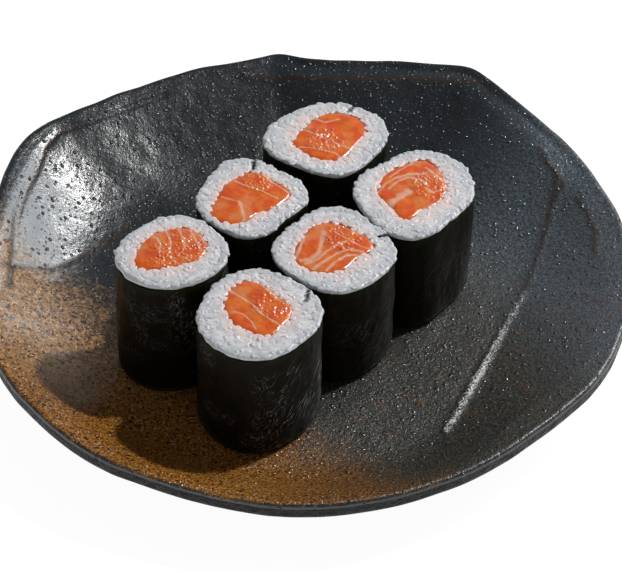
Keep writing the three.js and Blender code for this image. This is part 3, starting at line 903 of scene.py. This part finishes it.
def lay_grain(bean, count, angle, part, rng):
    """One grain of its own size, shape and tilt, as x, y and z about its middle."""
    if part == 1:
        along = angle + math.pi / 2 + rng.normal(0, 0.3)
        length = rng.uniform(*BORDER_GRAIN)
    else:
        along = rng.uniform(0, math.pi)
        length = rng.uniform(*(HOLE_GRAIN if part == 0 else FACE_GRAIN))
    body = bean * np.array([length, rng.uniform(0.8, 1.05), rng.uniform(0.85, 1.05)])
    body = body + 0.16 * noise(body + 9 * count, 1.1)[:, None] * np.sign(body)
    tilt = rng.normal(0, 0.16)
    x, y, z = body.T
    cos, sin = math.cos(tilt), math.sin(tilt)
    x, z = x * cos - z * sin, x * sin + z * cos
    cos, sin = math.cos(along), math.sin(along)
    return x * cos - y * sin, x * sin + y * cos, z


def grain_marks(roll, points, hole, wall):
    """How clear, pink or dark each grain is, by its place between the salmon and the seaweed."""
    radius = np.hypot(*(points[:, :2] - roll.middle).T)
    angles = np.arctan2(*(points[:, :2] - roll.middle).T[::-1]) % (2 * math.pi)
    side = (angles / (2 * math.pi) * len(wall)).astype(int) % len(wall)
    across = (radius - hole[side]) / (wall[side] - hole[side])
    uneven = across + 0.2 * noise(points, 2.5)
    return {
        "outer": smooth_step(uneven, 0.6, 1.05) * 0.6,
        "inner": (1 - smooth_step(uneven, 0.0, 0.55)) * 0.8,
        "dark": notch_depth(roll, points),
    }


def build_grains(roll, hole, wall, material):
    """The grains of the cut face, pressed flat by the knife, some over the edge of the nori."""
    bean, bean_faces = grain_shape()
    rng = roll.rng
    line = np.array(NOTCH[roll.letter])
    all_points, all_faces = [], []
    for count, (spot, angle, part) in enumerate(scatter(roll, hole, wall)):
        x, y, z = lay_grain(bean, count, angle, part, rng)
        local = np.stack([x, y], 1) + spot
        if np.hypot(*(spot - line).T).min() < NOTCH_REACH:
            local = clear_notch(local, line)
        above = z - 0.2 - rng.uniform(-0.08, 0.12) - 0.2 * (part == 1)
        pressed = CUT_LEVEL + CUT_KEEP * (above - CUT_LEVEL)
        height = roll.face + np.where(above > CUT_LEVEL, pressed, above)
        all_faces.extend([[count * len(bean) + index for index in face] for face in bean_faces])
        all_points.append(np.column_stack([local + roll.middle, height]))
    points = np.concatenate(all_points)
    marks = grain_marks(roll, points, hole, wall)
    add_piece(f"rice_{roll.letter}_grains", points, all_faces, material, (), marks)


def build_salmon(roll, material):
    """The bar of salmon through a roll, its cut face uneven and sunk along the lines of fat."""
    letter = roll.letter
    edge = roll.core(SALMON_SIDES) + 0.1
    rings = [ring(roll.middle, edge, height, SALMON_SIDES)
             for height in np.linspace(roll.base, roll.face - 1.2, 5)]
    top_start = len(rings)
    for part in np.linspace(1, 0.015, SALMON_RINGS):
        rise = 0.1 - 0.75 * part**14
        rings.append(ring(roll.middle, edge * part, roll.face + rise, SALMON_SIDES))
    points, faces = loft(rings)
    local = points - np.array([*roll.middle, 0])
    fat = np.zeros(len(points))
    step = np.zeros(len(points))
    for width, path in FAT[letter]:
        away = distance_to_path(local, path)
        ragged = 0.8 * width * (1 + 0.45 * noise(points, 1.1, shift=4))
        line = 1 - smooth_step(away, 0.2 * ragged, 1.4 * ragged)
        fat = np.maximum(fat, line)
        step -= FAT_STEP * line
    top = np.zeros(len(points), dtype=bool)
    top[top_start * SALMON_SIDES:-2] = True
    top[-1] = True
    relief = step + 0.14 * noise(points, 2.8, shift=6) + 0.04 * noise(points, 0.9)
    points[top, 2] += relief[top]
    (wet_x, wet_y), wet_radius = WET[letter]
    wet_away = np.hypot(local[:, 0] - wet_x, local[:, 1] - wet_y)
    marks = {
        "fat": fat * (0.75 + 0.25 * noise(points, 1.5)),
        "pale": smooth_step(noise(points, 3.2, shift=8), 0.1, 0.8) * 0.5,
        "wet": 1 - smooth_step(wet_away, 0.7 * wet_radius, 1.2 * wet_radius),
    }
    add_piece(f"salmon_{letter}_bar", points, faces, material,
              [f"salmon_{letter}"], marks)


# ---------------------------------------------------------------- stage
def floor_paint():
    """A pale floor, slightly mottled."""
    paint = Paint("floor")
    tone = paint.noise(400, 2)
    colour = paint.mix(tone, (0.18, 0.18, 0.18), (0.22, 0.22, 0.22))
    return paint.finish(Base_Color=colour, Roughness=0.8, Emission_Color=(1, 1, 1, 1),
                        Emission_Strength=FLOOR_GLOW)


def build_floor():
    half = FLOOR_SIZE / 2 * MM
    mesh = bpy.data.meshes.new("floor")
    corners = [(-half, -half, 0), (half, -half, 0), (half, half, 0), (-half, half, 0)]
    mesh.from_pydata(corners, [], [(0, 1, 2, 3)])
    mesh.materials.append(floor_paint())
    floor = bpy.data.objects.new("floor", mesh)
    bpy.context.scene.collection.objects.link(floor)


def add_light(name, place, size, power, colour=(1, 1, 1)):
    """A square soft light in millimetres, aimed at the plate."""
    data = bpy.data.lights.new(name, "AREA")
    data.size = size * MM
    data.energy = power
    data.color = colour
    light = bpy.data.objects.new(name, data)
    light.location = Vector(place) * MM
    light.rotation_mode = "QUATERNION"
    light.rotation_quaternion = (-light.location).to_track_quat("-Z", "Y")
    bpy.context.scene.collection.objects.link(light)


def build_lights():
    """The key light, a soft window, and a room brighter near the horizon than overhead."""
    key_place = Vector(KEY_TOWARDS).normalized() * LIGHT_DISTANCE
    add_light("key", key_place, KEY_SIZE, KEY_POWER, (1, 0.99, 0.97))
    fill_place = Vector(FILL_TOWARDS).normalized() * LIGHT_DISTANCE
    add_light("fill", fill_place, FILL_SIZE, FILL_POWER, (0.88, 0.95, 1))
    world = bpy.data.worlds.new("studio")
    world.use_nodes = True
    nodes, links = world.node_tree.nodes, world.node_tree.links
    place = nodes.new("ShaderNodeTexCoord")
    split = nodes.new("ShaderNodeSeparateXYZ")
    ramp = nodes.new("ShaderNodeMapRange")
    ramp.inputs["To Min"].default_value = SKY_LOW
    ramp.inputs["To Max"].default_value = SKY_HIGH
    links.new(place.outputs["Generated"], split.inputs["Vector"])
    links.new(split.outputs["Z"], ramp.inputs["Value"])
    links.new(ramp.outputs["Result"], nodes["Background"].inputs["Strength"])
    nodes["Background"].inputs["Color"].default_value = (1, 1, 1, 1)
    bpy.context.scene.world = world


def build_camera():
    """A long lens above the front of the plate."""
    data = bpy.data.cameras.new("camera")
    data.lens = CAMERA_LENS
    data.sensor_width = CAMERA_SENSOR
    data.clip_end = 10
    camera = bpy.data.objects.new("camera", data)
    rise = math.radians(CAMERA_ELEVATION)
    back = Vector((0, -math.cos(rise), math.sin(rise)))
    target = Vector(CAMERA_TARGET)
    camera.location = (target + back * CAMERA_DISTANCE) * MM
    camera.rotation_mode = "QUATERNION"
    tilt = Quaternion(back, math.radians(CAMERA_ROLL))
    camera.rotation_quaternion = tilt @ (-back).to_track_quat("-Z", "Y")
    bpy.context.scene.collection.objects.link(camera)
    bpy.context.scene.camera = camera


def main():
    build_plate(glaze_paint(), outside_paint())
    paints = {"nori": nori_paint(), "rice": rice_paint(), "salmon": salmon_paint()}
    for letter in ROLLS:
        roll = Roll(letter)
        build_nori(roll, paints["nori"])
        build_rice(roll, paints["rice"])
        build_salmon(roll, paints["salmon"])
    build_floor()
    build_lights()
    build_camera()
    bpy.context.scene.view_settings.view_transform = "Standard"


main()
